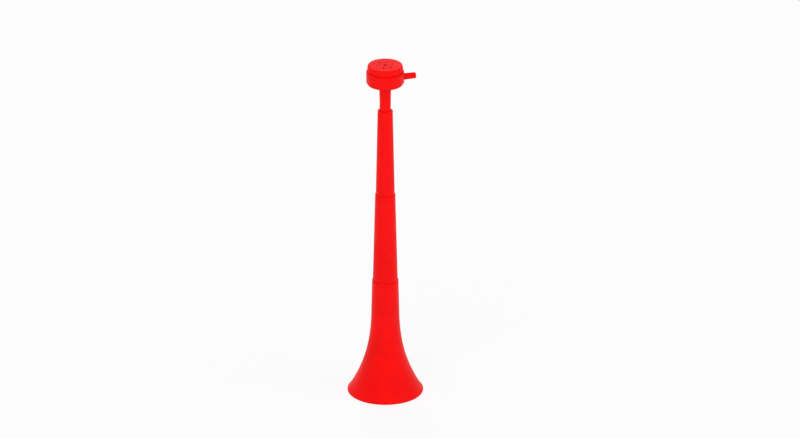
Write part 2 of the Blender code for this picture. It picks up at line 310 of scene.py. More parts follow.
@dataclass(frozen=True)
class MouldedPlastic:
    """Dyed plastic from a polished mould: faint orange peel, flow lines, scuffs and a parting line."""

    name: str = "red_moulded_plastic"
    colour: Triple = (0.90, 0.0035, 0.0032)
    deep_colour: Triple = (0.82, 0.0025, 0.0025)
    worn_colour: Triple = (0.90, 0.022, 0.020)
    specular: float = 0.08
    cloud: Grain = Grain(22.0, 4.0)
    cloud_range: Point = (0.35, 0.72)
    peel: Grain = Grain(900.0, 2.0)
    flow: Grain = Grain(260.0, 3.0, (1.0, 1.0, 0.06))
    scratch: Grain = Grain(1500.0, 2.0, (1.0, 0.7, 0.03))
    scratch_range: Point = (0.66, 0.74)
    rub: Grain = Grain(88.0, 5.0)
    rub_range: Point = (0.48, 0.62)
    scuff_height: float = 0.007
    seam_width: float = 0.00035
    foot_wear: float = 0.5
    scratch_wear: float = 0.12
    gloss_roughness: float = 0.42
    roughness_spread: float = 0.14
    foot_roughness: float = 0.25
    scratch_roughness: float = 0.15
    seam_roughness: float = 0.08
    peel_height: float = 0.5
    flow_height: float = 0.3
    seam_height: float = 0.6
    scratch_depth: float = 0.2
    relief: Relief = Relief(0.00012, 0.25)

    def make(self) -> bpy.types.Material:
        """Builds the material.

        Returns:
            The material.
        """
        graph = MaterialGraph(self.name)
        across, _, height = graph.axes()
        cloud = graph.noise(self.cloud)
        peel = graph.noise(self.peel)
        flow = graph.noise(self.flow)
        scratch = graph.noise(self.scratch).ramp(*self.scratch_range)
        rubbed = graph.noise(self.rub).ramp(*self.rub_range)
        foot = (1.0 - height.ramp(0.0, self.scuff_height)) * rubbed
        seam = 1.0 - abs(across).ramp(0.0, self.seam_width)
        dyed = graph.blend(cloud.ramp(*self.cloud_range), self.colour, self.deep_colour)
        wear = foot * self.foot_wear + scratch * self.scratch_wear
        graph.shade("Base Color", graph.blend(wear, dyed, self.worn_colour))
        roughness = (
            self.gloss_roughness
            + (cloud - NOISE_MIDDLE) * self.roughness_spread
            + (flow - NOISE_MIDDLE) * self.roughness_spread
            + foot * self.foot_roughness
            + scratch * self.scratch_roughness
            + seam * self.seam_roughness
        )
        graph.shade("Roughness", roughness)
        graph.shade("Specular IOR Level", self.specular)
        surface = (
            peel * self.peel_height
            + flow * self.flow_height
            + seam * self.seam_height
            - scratch * self.scratch_depth
        )
        graph.raise_by(surface, self.relief)
        return graph.material


@dataclass(frozen=True)
class ClearFilm:
    """Thin clear film, slightly cloudy, as used for the diaphragm."""

    name: str = "clear_film"
    colour: Triple = (0.80, 0.82, 0.84)
    cloudy_colour: Triple = (0.88, 0.89, 0.90)
    roughness: float = 0.2
    roughness_spread: float = 0.15
    alpha: float = 0.5
    wrinkle: Grain = Grain(240.0, 3.0)
    relief: Relief = Relief(0.0001, 0.3)

    def make(self) -> bpy.types.Material:
        """Builds the material.

        Returns:
            The material.
        """
        graph = MaterialGraph(self.name)
        wrinkle = graph.noise(self.wrinkle)
        graph.shade("Base Color", graph.blend(wrinkle, self.colour, self.cloudy_colour))
        graph.shade("Roughness", wrinkle * self.roughness_spread + self.roughness)
        graph.shade("Alpha", self.alpha)
        graph.raise_by(wrinkle, self.relief)
        return graph.material


@dataclass(frozen=True)
class Rubber:
    """Matt black rubber of the gasket."""

    name: str = "gasket_rubber"
    colour: Triple = (0.02, 0.02, 0.02)
    dusty_colour: Triple = (0.05, 0.048, 0.046)
    roughness: float = 0.7
    roughness_spread: float = 0.2
    grain: Grain = Grain(1800.0, 3.0)
    relief: Relief = Relief(0.0001, 0.4)

    def make(self) -> bpy.types.Material:
        """Builds the material.

        Returns:
            The material.
        """
        graph = MaterialGraph(self.name)
        grain = graph.noise(self.grain)
        graph.shade("Base Color", graph.blend(grain, self.colour, self.dusty_colour))
        graph.shade("Roughness", grain * self.roughness_spread + self.roughness)
        graph.raise_by(grain, self.relief)
        return graph.material


CORNER_STEPS = 6
GROOVE_STEPS = 6


def span(node: str) -> Point:
    """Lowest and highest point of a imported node."""
    low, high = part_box(node)
    return low[2], high[2]


def reach(node: str) -> float:
    """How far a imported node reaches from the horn's axis, along Y."""
    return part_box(node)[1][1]


def arc(centre: Point, size: float, start: float, end: float, steps: int) -> list[Point]:
    """Points of an arc in an outline.

    Args:
        centre: Its centre, as a radius and a height.
        size: Its radius.
        start: The angle that it starts at, in degrees.
        end: The angle that it ends at, in degrees.
        steps: How many straight runs stand for it.

    Returns:
        The points, both ends included.
    """
    points = []
    for step in range(steps + 1):
        angle = math.radians(start + (end - start) * step / steps)
        points.append((centre[0] + size * math.cos(angle), centre[1] + size * math.sin(angle)))
    return points


def round_top(radius: float, height: float, size: float) -> list[Point]:
    """Rounded upper outer corner of an outline, from the outside to the top."""
    return arc((radius - size, height - size), size, 0, 90, CORNER_STEPS)


def round_bottom(radius: float, height: float, size: float) -> list[Point]:
    """Rounded lower outer corner of an outline, from the bottom to the outside."""
    return arc((radius - size, height + size), size, -90, 0, CORNER_STEPS)


def groove(surface: Curve, height: float, width: float, depth: float) -> list[Point]:
    """A round groove in an outer surface, from its lower edge to its upper edge.

    Args:
        surface: Outer radius by height.
        height: The groove's middle height.
        width: Its width.
        depth: Its depth.

    Returns:
        The groove's points.
    """
    points = []
    for step in range(GROOVE_STEPS + 1):
        level = height + width * (step / GROOVE_STEPS - 0.5)
        sink = math.sin(math.pi * step / GROOVE_STEPS) * depth
        points.append((surface(level) - sink, level))
    return points


@dataclass(frozen=True)
class Thread:
    """The rib of a screw thread, right-handed, that the collar and the cap share."""

    pitch: float = 0.0024
    turns: float = 1.5
    depth: float = 0.0008
    buried: float = 0.0005
    crest_width: float = 0.0005
    root_width: float = 0.0011

    def section(self, wall: float, height: float, outward: bool) -> list[Point]:
        """Outline of the rib where it starts.

        Args:
            wall: Radius of the wall that it stands on.
            height: Height of its middle.
            outward: Whether it points away from the axis.

        Returns:
            The outline.
        """
        side = 1 if outward else -1
        crest = wall + side * self.depth
        root = wall - side * self.buried
        return [
            (root, height - self.root_width / 2),
            (crest, height - self.crest_width / 2),
            (crest, height + self.crest_width / 2),
            (root, height + self.root_width / 2),
        ]


@dataclass
class Bench:
    """The modelling bench: turns, cuts and finishes one piece at a time."""

    columns: int = 128
    bar_columns: int = 96
    thread_columns: int = 144
    blank_size: float = 0.01
    merge_distance: float = 2e-6
    sharp_angle: float = 32.0
    rounding_segments: int = 2

    def pick(self, piece: bpy.types.Object) -> None:
        """Selects one piece alone and makes it active.

        Args:
            piece: The piece.
        """
        bpy.ops.object.select_all(action="DESELECT")
        piece.select_set(True)
        bpy.context.view_layer.objects.active = piece

    def lay_outline(self, name: str, corners: list[Triple]) -> bpy.types.Object:
        """Draws a closed outline as a chain of edges, and leaves it selected in edit mode.

        Args:
            name: The piece's name.
            corners: The outline's corners.

        Returns:
            The outline.
        """
        bpy.ops.object.select_all(action="DESELECT")
        bpy.ops.mesh.primitive_plane_add(size=self.blank_size)
        piece = bpy.context.object
        piece.name = name
        piece.data.name = name
        bpy.ops.object.mode_set(mode="EDIT")
        bpy.ops.mesh.select_mode(type="VERT")
        bpy.ops.mesh.select_all(action="SELECT")
        bpy.ops.mesh.merge(type="CENTER")
        bpy.ops.transform.translate(value=corners[0])
        for before, after in zip(corners, [*corners[1:], corners[0]]):
            step = [after[axis] - before[axis] for axis in range(3)]
            bpy.ops.mesh.extrude_vertices_move(TRANSFORM_OT_translate={"value": step})
        bpy.ops.mesh.select_all(action="SELECT")
        bpy.ops.mesh.remove_doubles(threshold=self.merge_distance)
        return piece

    def turn(
        self,
        name: str,
        outline: list[Point],
        spindle: Spindle = Spindle.UPRIGHT,
        level: float = 0.0,
        columns: int | None = None,
    ) -> bpy.types.Object:
        """Turns a closed outline about a spindle.

        Args:
            name: The piece's name.
            outline: Its points, each a radius and a place along the spindle.
            spindle: The line that it is turned about.
            level: Height of a sideways spindle.
            columns: How many columns of faces the piece has, or None for the bench's own number.

        Returns:
            The turned piece, in object mode.
        """
        if spindle is Spindle.UPRIGHT:
            corners = [(radius, 0.0, along) for radius, along in outline]
        else:
            corners = [(along, 0.0, level + radius) for radius, along in outline]
        piece = self.lay_outline(name, corners)
        bpy.ops.mesh.spin(
            steps=columns or self.columns,
            angle=2 * math.pi,
            center=(0.0, 0.0, level),
            axis=spindle.value,
        )
        bpy.ops.mesh.select_all(action="SELECT")
        bpy.ops.mesh.remove_doubles(threshold=self.merge_distance)
        bpy.ops.mesh.normals_make_consistent(inside=False)
        bpy.ops.mesh.select_all(action="DESELECT")
        bpy.ops.object.mode_set(mode="OBJECT")
        return piece

    def helix(self, name: str, section: list[Point], thread: Thread) -> bpy.types.Object:
        """Winds a thread's section into a closed rib.

        Args:
            name: The rib's name.
            section: Outline of the rib where it starts.
            thread: The thread that it belongs to.

        Returns:
            The rib.
        """
        rib = self.lay_outline(name, [(radius, 0.0, height) for radius, height in section])
        bpy.ops.object.mode_set(mode="OBJECT")
        screw = rib.modifiers.new("thread", "SCREW")
        screw.angle = 2 * math.pi * thread.turns
        screw.screw_offset = thread.pitch * thread.turns
        screw.steps = self.thread_columns
        screw.render_steps = self.thread_columns
        screw.use_merge_vertices = False
        self.apply(rib)
        bpy.ops.object.mode_set(mode="EDIT")
        bpy.ops.mesh.select_all(action="SELECT")
        bpy.ops.mesh.fill_holes(sides=len(section))
        bpy.ops.mesh.select_all(action="SELECT")
        bpy.ops.mesh.normals_make_consistent(inside=False)
        bpy.ops.object.mode_set(mode="OBJECT")
        return rib

    def rod(self, name: str, radius: float, reach_along: Point, level: float) -> bpy.types.Object:
        """Round bar along +X, used as a boss or as a cutter.

        Args:
            name: Its name.
            radius: Its radius.
            reach_along: Where it starts and ends along X.
            level: Its height.

        Returns:
            The bar.
        """
        start, end = reach_along
        bpy.ops.object.select_all(action="DESELECT")
        bpy.ops.mesh.primitive_cylinder_add(
            vertices=self.bar_columns,
            radius=radius,
            depth=end - start,
            location=((start + end) / 2, 0.0, level),
            rotation=(0.0, math.pi / 2, 0.0),
        )
        bar = bpy.context.object
        bar.name = name
        bpy.ops.object.transform_apply(location=True, rotation=True, scale=True)
        return bar

    def soften(self, piece: bpy.types.Object, width: float) -> None:
        """Rounds a piece's sharp edges.

        Args:
            piece: The piece.
            width: Width of the rounding.
        """
        bevel = piece.modifiers.new("edge_rounding", "BEVEL")
        bevel.width = width
        bevel.segments = self.rounding_segments
        bevel.limit_method = "ANGLE"
        bevel.angle_limit = math.radians(self.sharp_angle)
        self.apply(piece)

    def cut(self, piece: bpy.types.Object, tool: bpy.types.Object) -> None:
        """Cuts a tool's shape out of a piece."""
        self.combine(piece, tool, "DIFFERENCE")

    def weld(self, piece: bpy.types.Object, tool: bpy.types.Object) -> None:
        """Joins a tool's shape to a piece, and removes the tool."""
        self.combine(piece, tool, "UNION")
        bpy.data.objects.remove(tool)

    def combine(self, piece: bpy.types.Object, tool: bpy.types.Object, operation: str) -> None:
        """Runs a Boolean.

        Args:
            piece: The piece that is changed.
            tool: The shape that changes it.
            operation: The Boolean's operation.
        """
        modifier = piece.modifiers.new(tool.name, "BOOLEAN")
        modifier.operation = operation
        modifier.solver = "EXACT"
        modifier.object = tool
        self.apply(piece)

    def apply(self, piece: bpy.types.Object) -> None:
        """Applies all of a piece's modifiers.

        Args:
            piece: The piece.
        """
        self.pick(piece)
        for modifier in list(piece.modifiers):
            bpy.ops.object.modifier_apply(modifier=modifier.name)

    def finish(
        self,
        piece: bpy.types.Object,
        node: str,
        body: Body,
        material: bpy.types.Material,
    ) -> None:
        """Shades a piece, dresses it and hands it to the frame.

        Args:
            piece: The finished piece.
            node: The CAD node that it stands for.
            body: The body that it rides on.
            material: Its material.
        """
        self.pick(piece)
        bpy.ops.object.shade_smooth_by_angle(angle=math.radians(self.sharp_angle))
        piece.data.materials.clear()
        piece.data.materials.append(material)
        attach(piece, body.value)
        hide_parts(node)
        LOG.info("%s: %d faces, rides on %s", piece.name, len(piece.data.polygons), body.value)


@dataclass
class Section:
    """A tapered tube, widest at its lower end."""

    node: str
    top_radius: float
    taper: float
    wall: float

    def __post_init__(self) -> None:
        """Takes the tube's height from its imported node."""
        self.bottom, self.top = span(self.node)

    def outer(self, height: float) -> float:
        """Outer radius at a height."""
        return self.top_radius + self.taper * (self.top - height)

    def bore(self, height: float) -> float:
        """Inner radius at a height."""
        return self.outer(height) - self.wall

    def foot(self, edge: float) -> list[Point]:
        """Lower end of the tube's outline, from the bore to the outside.

        Args:
            edge: Size of the bevel on its outer corner.

        Returns:
            The points.
        """
        return [
            (self.bore(self.bottom), self.bottom),
            (self.outer(self.bottom) - edge, self.bottom),
            (self.outer(self.bottom), self.bottom + edge),
        ]


@dataclass(frozen=True)
class GripRings:
    """Fine grooves below a section's top edge."""

    count: int = 2
    first: float = 0.005
    pitch: float = 0.0022
    width: float = 0.0009
    depth: float = 0.00022

    def points(self, section: Section) -> list[Point]:
        """Points of a section's outer surface across the grooves.

        Args:
            section: The section that they run round.

        Returns:
            The points, in rising order.
        """
        points = []
        for index in reversed(range(self.count)):
            level = section.top - self.first - index * self.pitch
            points += groove(section.outer, level, self.width, self.depth)
        return points


@dataclass
class BellSection:
    """The bell: a cone that flares to a rolled rim."""

    top_radius: float = 0.022349
    taper: float = 0.0245
    wall: float = 0.0009
    rim_radius: float = 0.06437
    bead_size: float = 0.003
    bead_steps: int = 12
    foot_half_width: float = 0.0008
    inner_meeting: float = 0.99
    meeting_angle: float = 70.0
    flare_length: float = 0.1457
    flare_power: float = 2.38
    flare_steps: int = 30
    crowding: float = 1.5
    edge: float = 0.0004
    rings: GripRings = GripRings()

    def __post_init__(self) -> None:
        """Works out the cone, the rim's bead, and where the flare meets it."""
        self.cone = Section("bell", self.top_radius, self.taper, self.wall)
        self.bead = (self.rim_radius - self.bead_size, math.sqrt(self.bead_size**2 - self.foot_half_width**2))
        angle = math.radians(self.meeting_angle)
        self.meeting = (
            self.bead[0] + self.bead_size * math.cos(angle),
            self.bead[1] + self.bead_size * math.sin(angle),
        )
        rise = (1 - self.meeting[1] / self.flare_length) ** self.flare_power
        self.gain = (self.meeting[0] - self.cone.outer(self.meeting[1])) / rise

    def outer(self, height: float) -> float:
        """Outer radius of the flare at a height."""
        rise = max(0.0, 1 - height / self.flare_length)
        return self.cone.outer(height) + self.gain * rise**self.flare_power

    def bore(self, height: float) -> float:
        """Inner radius of the flare, which keeps the wall's thickness as the slope grows.

        Args:
            height: The height.

        Returns:
            The radius.
        """
        rise = max(0.0, 1 - height / self.flare_length)
        flare_slope = self.gain * self.flare_power / self.flare_length * rise ** (self.flare_power - 1)
        return self.outer(height) - self.wall * math.hypot(1.0, self.taper + flare_slope)

    def heights(self, low: float) -> list[float]:
        """Heights along the flare, closer together near the rim."""
        shares = [(step / self.flare_steps) ** self.crowding for step in range(self.flare_steps + 1)]
        return [low + (self.flare_length - low) * share for share in shares]

    def build(self, bench: Bench, plastic: bpy.types.Material) -> None:
        """Makes the bell.

        Args:
            bench: The bench that it is turned on.
            plastic: Its material.
        """
        cone = self.cone
        foot = math.degrees(math.asin(self.foot_half_width / self.bead_size))
        low = self.bead[1] + self.bead_size * self.inner_meeting
        inside = math.degrees(math.atan2(low - self.bead[1], self.bore(low) - self.bead[0]))
        outline = [
            *((self.bore(height), height) for height in reversed(self.heights(low))),
            *arc(self.bead, self.bead_size, inside, 270 - foot, self.bead_steps)[1:],
            *arc(self.bead, self.bead_size, 270 + foot, 360 + self.meeting_angle, self.bead_steps),
            *((self.outer(height), height) for height in self.heights(self.meeting[1])[1:]),
            *self.rings.points(cone),
            *round_top(cone.outer(cone.top), cone.top, self.edge),
            (cone.bore(cone.top), cone.top),
        ]
        piece = bench.turn("bell_shell", outline)
        bench.finish(piece, "bell", Body.BELL, plastic)


@dataclass
class SlidingTubes:
    """The two sections that slide: the middle tube, and the top tube with its socket."""

    middle_radius: float = 0.017097
    middle_taper: float = 0.0255
    top_radius: float = 0.01285
    top_taper: float = 0.0205
    wall: float = 0.0008
    edge: float = 0.0004
    top_edge: float = 0.001
    socket_bore: float = 0.0098
    socket_radius: float = 0.011
    socket_depth: float = 0.0214
    stop_bore: float = 0.008
    stop_height: float = 0.0015
    web: float = 0.0012
    rings: GripRings = GripRings()

    def build(self, bench: Bench, plastic: bpy.types.Material) -> None:
        """Makes both tubes.

        Args:
            bench: The bench that they are turned on.
            plastic: Their material.
        """
        middle = Section("middle_tube", self.middle_radius, self.middle_taper, self.wall)
        outline = [
            *middle.foot(self.edge),
            *self.rings.points(middle),
            *round_top(middle.outer(middle.top), middle.top, self.edge),
            (middle.bore(middle.top), middle.top),
        ]
        piece = bench.turn("middle_tube_shell", outline)
        bench.finish(piece, "middle_tube", Body.MIDDLE, plastic)

        top = Section("top_tube", self.top_radius, self.top_taper, self.wall)
        floor = top.top - self.socket_depth
        under_web = top.top - self.web
        outline = [
            *top.foot(self.edge),
            *self.rings.points(top),
            *round_top(top.outer(top.top), top.top, self.top_edge),
            (self.socket_bore + self.edge, top.top),
            (self.socket_bore, top.top - self.edge),
            (self.socket_bore, floor),
            (self.stop_bore, floor),
            (self.stop_bore, floor - self.stop_height),
            (self.socket_radius, floor - self.stop_height),
            (self.socket_radius, under_web),
            (top.bore(under_web), under_web),
        ]
        piece = bench.turn("top_tube_shell", outline)
        bench.finish(piece, "top_tube", Body.TOP, plastic)


@dataclass
class SoundChamber:
    """The drum below the cap: neck, bowl, collar, mouthpiece, gasket and film."""

    fit: float = 0.0003
    chamfer: float = 0.0003
    soft_edge: float = 0.00015
    neck_bore: float = 0.0073
    neck_radius: float = 0.0095
    neck_flare: float = 0.0011
    neck_flare_length: float = 0.032
    neck_flare_power: float = 1.5
    neck_flare_steps: int = 14
    seat_radius: float = 0.0088
    lip: float = 0.0007
    floor: float = 0.0022
    bowl_wall: float = 0.002
    bowl_edge: float = 0.0014
    band_height: float = 0.0194
    band_edge: float = 0.0007
    band_groove_drop: float = 0.0019
    band_groove_width: float = 0.0007
    band_groove_depth: float = 0.0002
    web: float = 0.0022
    collar_bore: float = 0.0244
    thread: Thread = Thread()
    thread_rise: float = 0.0012
    port_radius: float = 0.0048
    port_cut: Point = (0.015, 0.040)
    boss_radius: float = 0.0060
    boss_edge: float = 0.0004
    mouth_bore: float = 0.0034
    mouth_tip_radius: float = 0.00515
    mouth_edge: float = 0.0004
    mouth_edge_steps: int = 4
    mouth_lip_steps: int = 12
    mouth_columns: int = 96
    spigot_radius: float = 0.0045

    def __post_init__(self) -> None:
        """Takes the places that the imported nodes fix."""
        self.neck_bottom, self.seat = span("neck_tube")
        self.drum_bottom, self.bowl_top = span("chamber_bowl")
        self.drum_radius = reach("chamber_bowl")
        self.band_bottom, self.collar_top = span("chamber_collar")
        self.band_radius = reach("chamber_collar")
        self.band_top = self.band_bottom + self.band_height
        self.boss_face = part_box("chamber_collar")[1][0]
        mouth_low, mouth_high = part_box("mouthpiece")
        self.spigot_end, self.mouth_tip = mouth_low[0], mouth_high[0]
        self.port_level = (mouth_low[2] + mouth_high[2]) / 2
        self.mouth_root = reach("mouthpiece")
        self.gasket_bottom, self.gasket_top = span("diaphragm_gasket")
        self.collar_radius = reach("diaphragm_gasket")
        self.film_bottom, self.film_top = span("diaphragm")

    def build(
        self,
        bench: Bench,
        plastic: bpy.types.Material,
        film: bpy.types.Material,
        rubber: bpy.types.Material,
    ) -> None:
        """Makes the pieces of the head that lie under the cap.

        Args:
            bench: The bench that they are turned on.
            plastic: Material of the moulded pieces.
            film: Material of the diaphragm.
            rubber: Material of the gasket.
        """
        port = bench.rod("port_cutter", self.port_radius, self.port_cut, self.port_level)
        self.build_neck(bench, plastic)
        self.build_bowl(bench, plastic, port)
        self.build_collar(bench, plastic, port)
        self.build_mouthpiece(bench, plastic)
        self.build_gasket(bench, rubber)
        self.build_film(bench, film)
        bpy.data.objects.remove(port)

    def build_neck(self, bench: Bench, plastic: bpy.types.Material) -> None:
        """Makes the sound tube, from its plug to the seat under the film.

        Args:
            bench: The bench that it is turned on.
            plastic: Its material.
        """
        shoulder = self.drum_bottom - self.fit
        flare = []
        for step in range(self.neck_flare_steps + 1):
            share = step / self.neck_flare_steps
            height = shoulder - self.neck_flare_length * (1 - share)
            flare.append((self.neck_radius + self.neck_flare * share**self.neck_flare_power, height))
        outline = [
            (self.neck_bore, self.neck_bottom),
            (self.neck_radius - self.chamfer, self.neck_bottom),
            (self.neck_radius, self.neck_bottom + self.chamfer),
            *flare,
            (self.seat_radius, shoulder),
            (self.seat_radius, self.seat - self.lip),
            (self.neck_bore + self.lip, self.seat),
            (self.neck_bore, self.seat),
        ]
        piece = bench.turn("neck_sound_tube", outline)
        bench.soften(piece, self.soft_edge)
        bench.finish(piece, "neck_tube", Body.HEAD, plastic)

    def build_bowl(self, bench: Bench, plastic: bpy.types.Material, port: bpy.types.Object) -> None:
        """Makes the lower cup of the drum, with its port.

        Args:
            bench: The bench that it is turned on.
            plastic: Its material.
            port: The cutter of the port.
        """
        hole = self.seat_radius + self.fit
        inner = self.drum_radius - self.bowl_wall
        floor_top = self.drum_bottom + self.floor
        outline = [
            (hole, self.drum_bottom),
            *round_bottom(self.drum_radius, self.drum_bottom, self.bowl_edge),
            (self.drum_radius, self.bowl_top),
            (inner, self.bowl_top),
            (inner, floor_top),
            (hole, floor_top),
        ]
        piece = bench.turn("drum_bowl", outline)
        bench.cut(piece, port)
        bench.finish(piece, "chamber_bowl", Body.HEAD, plastic)

    def build_collar(self, bench: Bench, plastic: bpy.types.Material, port: bpy.types.Object) -> None:
        """Makes the band with its boss, port and threaded neck.

        Args:
            bench: The bench that it is turned on.
            plastic: Its material.
            port: The cutter of the port.
        """
        bore = self.drum_radius + self.fit
        under_web = self.band_top - self.web
        groove_height = self.band_top - self.band_groove_drop
        groove_size = (self.band_groove_width, self.band_groove_depth)
        outline = [
            (bore, self.band_bottom),
            *round_bottom(self.band_radius, self.band_bottom, self.band_edge),
            *groove(lambda _: self.band_radius, groove_height, *groove_size),
            *round_top(self.band_radius, self.band_top, self.band_edge),
            (self.collar_radius, self.band_top),
            (self.collar_radius, self.collar_top - self.chamfer),
            (self.collar_radius - self.chamfer, self.collar_top),
            (self.collar_bore, self.collar_top),
            (self.collar_bore, under_web),
            (bore, under_web),
        ]
        piece = bench.turn("drum_collar", outline)
        side = math.sqrt(self.band_radius**2 - self.boss_radius**2)
        root = (bore + side) / 2
        boss = bench.rod("port_boss", self.boss_radius, (root, self.boss_face), self.port_level)
        bench.soften(boss, self.boss_edge)
        bench.weld(piece, boss)
        bench.cut(piece, port)
        section = self.thread.section(self.collar_radius, self.band_top + self.thread_rise, outward=True)
        bench.weld(piece, bench.helix("collar_rib", section, self.thread))
        bench.finish(piece, "chamber_collar", Body.HEAD, plastic)

    def build_mouthpiece(self, bench: Bench, plastic: bpy.types.Material) -> None:
        """Makes the side tube, with a rounded lip and a short spigot.

        Args:
            bench: The bench that it is turned on.
            plastic: Its material.
        """
        shoulder = self.boss_face + self.fit
        lip = (self.mouth_tip_radius - self.mouth_bore) / 2
        root_centre = (self.mouth_root - self.mouth_edge, shoulder + self.mouth_edge)
        lip_centre = (self.mouth_tip_radius - lip, self.mouth_tip - lip)
        outline = [
            (self.mouth_bore, self.spigot_end),
            (self.spigot_radius - self.chamfer, self.spigot_end),
            (self.spigot_radius, self.spigot_end + self.chamfer),
            (self.spigot_radius, shoulder),
            *arc(root_centre, self.mouth_edge, -90, 0, self.mouth_edge_steps),
            *arc(lip_centre, lip, 0, 180, self.mouth_lip_steps),
        ]
        piece = bench.turn("side_mouthpiece", outline, Spindle.SIDEWAYS, self.port_level, self.mouth_columns)
        bench.finish(piece, "mouthpiece", Body.HEAD, plastic)

    def build_gasket(self, bench: Bench, rubber: bpy.types.Material) -> None:
        """Makes the gasket under the film.

        Args:
            bench: The bench that it is turned on.
            rubber: Its material.
        """
        outline = [
            (self.collar_bore, self.gasket_bottom),
            (self.collar_radius, self.gasket_bottom),
            (self.collar_radius, self.gasket_top),
            (self.collar_bore, self.gasket_top),
        ]
        piece = bench.turn("film_gasket", outline)
        bench.soften(piece, self.soft_edge)
        bench.finish(piece, "diaphragm_gasket", Body.HEAD, rubber)

    def build_film(self, bench: Bench, film: bpy.types.Material) -> None:
        """Makes the film.

        Args:
            bench: The bench that it is turned on.
            film: Its material.
        """
        outline = [
            (0.0, self.film_bottom),
            (self.collar_radius, self.film_bottom),
            (self.collar_radius, self.film_top),
            (0.0, self.film_top),
        ]
        piece = bench.turn("film_disc", outline)
        bench.finish(piece, "diaphragm", Body.HEAD, film)


@dataclass
class ScrewCap:
    """The cap with its grip ribs and vents, and the clamp ring inside it."""

    bore: float = 0.02755
    bore_edge: float = 0.0002
    plate: float = 0.0017
    valley: float = 0.0294
    foot_edge: float = 0.0004
    edge: float = 0.0018
    edge_steps: int = 8
    rib_count: int = 36
    columns_per_rib: int = 4
    raised_columns: int = 2
    rib_fade: float = 0.0006
    rib_shortening: float = 0.9
    vent_radius: float = 0.003
    vent_edge: float = 0.0003
    small_vent_radius: float = 0.0018
    small_vent_columns: int = 48
    vent_ring_radius: float = 0.013
    vent_count: int = 6
    snap_bore: float = 0.02695
    snap_hold: float = 0.0003
    snap_drop: float = 0.0002
    snap_height: float = 0.0006
    thread: Thread = Thread()
    thread_rise: float = 0.0021
    clamp_bore: float = 0.0244
    clamp_edge: float = 0.0002

    def __post_init__(self) -> None:
        """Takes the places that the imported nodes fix."""
        self.bottom, self.top = span("screw_cap")
        self.crest = reach("screw_cap")
        self.clamp_bottom, self.clamp_top = span("clamp_ring")
        self.clamp_radius = reach("clamp_ring")
        self.plate_bottom = self.top - self.plate

    def build(self, bench: Bench, plastic: bpy.types.Material, ring_plastic: bpy.types.Material) -> None:
        """Makes the cap and the clamp ring.

        Args:
            bench: The bench that they are turned on.
            plastic: The cap's material.
            ring_plastic: The clamp ring's material.
        """
        side_bottom = self.bottom + self.rib_fade
        side_top = self.top - self.edge - self.rib_fade
        snap_top = self.clamp_bottom - self.snap_hold
        outline = [
            (self.bore + self.bore_edge, self.bottom),
            (self.valley - self.foot_edge, self.bottom),
            (self.valley, self.bottom + self.foot_edge),
            (self.valley, side_bottom),
            (self.valley, side_top),
            *arc((self.valley - self.edge, self.top - self.edge), self.edge, 0, 90, self.edge_steps),
            (self.vent_radius + self.vent_edge, self.top),
            (self.vent_radius, self.top - self.vent_edge),
            (self.vent_radius, self.plate_bottom),
            (self.bore, self.plate_bottom),
            (self.bore, snap_top),
            (self.snap_bore, snap_top - self.snap_drop),
            (self.bore, snap_top - self.snap_height),
            (self.bore, self.bottom + self.bore_edge),
        ]
        cap = bench.turn("grip_cap", outline, columns=self.columns_per_rib * self.rib_count)
        self.raise_ribs(cap, (side_bottom + side_top) / 2)
        self.cut_vents(bench, cap)
        section = self.thread.section(self.bore, self.bottom + self.thread_rise, outward=False)
        bench.weld(cap, bench.helix("cap_rib", section, self.thread))
        bench.finish(cap, "screw_cap", Body.CAP, plastic)

        outline = [
            (self.clamp_bore, self.clamp_bottom),
            (self.clamp_radius, self.clamp_bottom),
            (self.clamp_radius, self.clamp_top),
            (self.clamp_bore, self.clamp_top),
        ]
        ring = bench.turn("film_clamp_ring", outline)
        bench.soften(ring, self.clamp_edge)
        bench.finish(ring, "clamp_ring", Body.CLAMP, ring_plastic)

    def raise_ribs(self, cap: bpy.types.Object, middle: float) -> None:
        """Extrudes every second pair of side columns into a grip rib.

        Args:
            cap: The turned cap.
            middle: Height halfway up its side.
        """
        for edge in cap.data.edges:
            edge.select = False
        for vertex in cap.data.vertices:
            vertex.select = False
        columns = self.columns_per_rib * self.rib_count
        for face in cap.data.polygons:
            place = face.center
            radius = math.hypot(place.x, place.y)
            column = math.floor(math.atan2(place.y, place.x) / (2 * math.pi) * columns) % columns
            on_side = radius > self.valley - self.rib_fade and abs(place.z - middle) < self.rib_fade
            face.select = on_side and column % self.columns_per_rib < self.raised_columns
        bpy.context.view_layer.objects.active = cap
        bpy.ops.object.mode_set(mode="EDIT")
        bpy.ops.mesh.select_mode(type="FACE")
        bpy.ops.mesh.extrude_region_move()
        grow = self.crest / self.valley
        bpy.ops.transform.resize(value=(grow, grow, self.rib_shortening), center_override=(0.0, 0.0, middle))
        bpy.ops.mesh.select_all(action="DESELECT")
        bpy.ops.object.mode_set(mode="OBJECT")

    def cut_vents(self, bench: Bench, cap: bpy.types.Object) -> None:
        """Cuts the ring of small vents through the top plate.

        Args:
            bench: The bench that they are cut on.
            cap: The turned cap.
        """
        for index in range(self.vent_count):
            angle = 2 * math.pi * index / self.vent_count
            place = (
                self.vent_ring_radius * math.cos(angle),
                self.vent_ring_radius * math.sin(angle),
                self.top,
            )
            bpy.ops.object.select_all(action="DESELECT")
            bpy.ops.mesh.primitive_cylinder_add(
                vertices=self.small_vent_columns,
                radius=self.small_vent_radius,
                depth=4 * self.plate,
                location=place,
            )
            drill = bpy.context.object
            bench.cut(cap, drill)
            bpy.data.objects.remove(drill)


